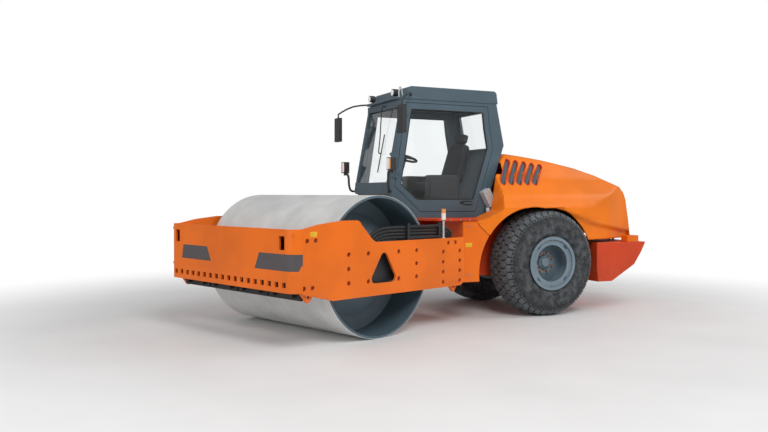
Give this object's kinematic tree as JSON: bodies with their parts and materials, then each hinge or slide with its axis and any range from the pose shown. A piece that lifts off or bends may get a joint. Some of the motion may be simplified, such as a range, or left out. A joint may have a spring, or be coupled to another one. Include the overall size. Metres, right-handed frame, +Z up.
{
  "type": "single drum roller",
  "caption": "Articulated soil compactor with a smooth front drum, a cab, a rear engine hood and two driven wheels.",
  "frame": {"origin": "on the ground under the middle of the standing machine's bounding box", "axes": "+X forward along the rear frame, +Y to the machine's left, +Z up; the front frame stands steered 21 degrees to the left"},
  "size_m": [6.4042, 3.2391, 2.9998],
  "materials": {
    "orange_paint": "satin machine paint",
    "red_paint": "satin machine paint",
    "grey_paint": "satin machine paint",
    "rim_paint": "satin paint",
    "dark_paint": "satin paint",
    "drum_steel": "rolled steel worn bright",
    "rod_chrome": "ground chrome",
    "tyre_rubber": "worn rubber",
    "black_rubber": "hose and scraper rubber",
    "black_plastic": "moulded plastic",
    "silver": "dull aluminium",
    "glass": "clear cab glass"
  },
  "bodies": {
    "chassis": {"chassis_frame": "red_paint", "side_box_left": "orange_paint", "side_box_right": "orange_paint", "deck": "red_paint", "rear_axle": "dark_paint", "counterweight": "red_paint", "rear_lamps": "orange_paint", "hood_hinges": "dark_paint", "engine_block": "dark_paint", "air_intake": "silver", "cab_frame": "grey_paint", "cab_floor": "dark_paint", "cab_roof": "grey_paint", "windscreen": "glass", "rear_window": "glass", "seat": "black_plastic", "console": "black_plastic", "steering_column": "black_plastic", "mirrors": "black_plastic", "roof_lights": "black_plastic", "headlamps": "black_plastic", "wiper": "black_plastic"},
    "knuckle": {"knuckle": "dark_paint"},
    "front": {"side_plate_left": "orange_paint", "side_plate_right": "orange_paint", "front_beam": "orange_paint", "rear_crossmember": "orange_paint", "drum_carriers": "dark_paint", "scraper_bar": "black_rubber", "lashing_eyes": "orange_paint", "hoses": "black_rubber", "hose_clamps": "dark_paint", "marker_post": "silver"},
    "drum": {"drum_shell": "drum_steel", "drum_heads": "rim_paint"},
    "steer_barrel_left": {"steer_barrel_left": "dark_paint"},
    "steer_rod_left": {"steer_rod_left": "rod_chrome"},
    "steer_barrel_right": {"steer_barrel_right": "dark_paint"},
    "steer_rod_right": {"steer_rod_right": "rod_chrome"},
    "door_left": {"door_left": "grey_paint", "door_glass_left": "glass"},
    "door_right": {"door_right": "grey_paint", "door_glass_right": "glass"},
    "hood": {"hood": "orange_paint", "hood_grilles": "grey_paint"},
    "wheel_left": {"tyre_left": "tyre_rubber", "rim_left": "rim_paint"},
    "wheel_right": {"tyre_right": "tyre_rubber", "rim_right": "rim_paint"}
  },
  "joints": [
    {"name": "steer", "type": "hinge", "parent": "chassis", "child": "knuckle", "pos_m": [0.09918, -0.52084, 0.75], "axis": [0, 0, 1], "range_deg": [-56, 14]},
    {"name": "oscillate", "type": "hinge", "parent": "knuckle", "child": "front", "pos_m": [0.09918, -0.52084, 0.75], "axis": [0.9336, 0.3584, 0], "range_deg": [-10, 10]},
    {"name": "drum_roll", "type": "hinge", "parent": "front", "child": "drum", "pos_m": [1.61158, 0.05971, 0.8], "axis": [-0.3584, 0.9336, 0], "continuous": true},
    {"name": "wheel_left_roll", "type": "hinge", "parent": "chassis", "child": "wheel_left", "pos_m": [-1.53082, 0.26916, 0.705], "axis": [0, 1, 0], "continuous": true},
    {"name": "wheel_right_roll", "type": "hinge", "parent": "chassis", "child": "wheel_right", "pos_m": [-1.53082, -1.31084, 0.705], "axis": [0, 1, 0], "continuous": true},
    {"name": "door_left_swing", "type": "hinge", "parent": "chassis", "child": "door_left", "pos_m": [0.54818, 0.04516, 1.715], "axis": [-0.1472, 0, 0.9891], "range_deg": [-85, 0]},
    {"name": "door_right_swing", "type": "hinge", "parent": "chassis", "child": "door_right", "pos_m": [0.54818, -1.08684, 1.715], "axis": [-0.1472, 0, 0.9891], "range_deg": [0, 85]},
    {"name": "hood_lift", "type": "hinge", "parent": "chassis", "child": "hood", "pos_m": [-3.14082, -0.52084, 0.978], "axis": [0, -1, 0], "range_deg": [0, 50]},
    {"name": "steer_barrel_left_swing", "type": "hinge", "parent": "chassis", "child": "steer_barrel_left", "pos_m": [-0.62082, -0.25084, 0.975], "axis": [0, 0, 1], "range_deg": [-1.17, 0.33]},
    {"name": "steer_rod_left_slide", "type": "slide", "parent": "steer_barrel_left", "child": "steer_rod_left", "axis": [0.9999, 0.0164, 0], "range_m": [-0.0706, 0.2764]},
    {"name": "steer_barrel_right_swing", "type": "hinge", "parent": "chassis", "child": "steer_barrel_right", "pos_m": [-0.62082, -0.79084, 0.975], "axis": [0, 0, 1], "range_deg": [-0.33, 1.17]},
    {"name": "steer_rod_right_slide", "type": "slide", "parent": "steer_barrel_right", "child": "steer_rod_right", "axis": [0.9999, -0.0122, 0], "range_m": [-0.2764, 0.0706]}
  ],
  "couplings": [
    {"joint": "steer_barrel_left_swing", "follows": "steer", "ratio": 0.02},
    {"joint": "steer_rod_left_slide", "follows": "steer", "m_per_rad": -0.28075},
    {"joint": "steer_barrel_right_swing", "follows": "steer", "ratio": -0.02},
    {"joint": "steer_rod_right_slide", "follows": "steer", "m_per_rad": 0.28075}
  ]
}
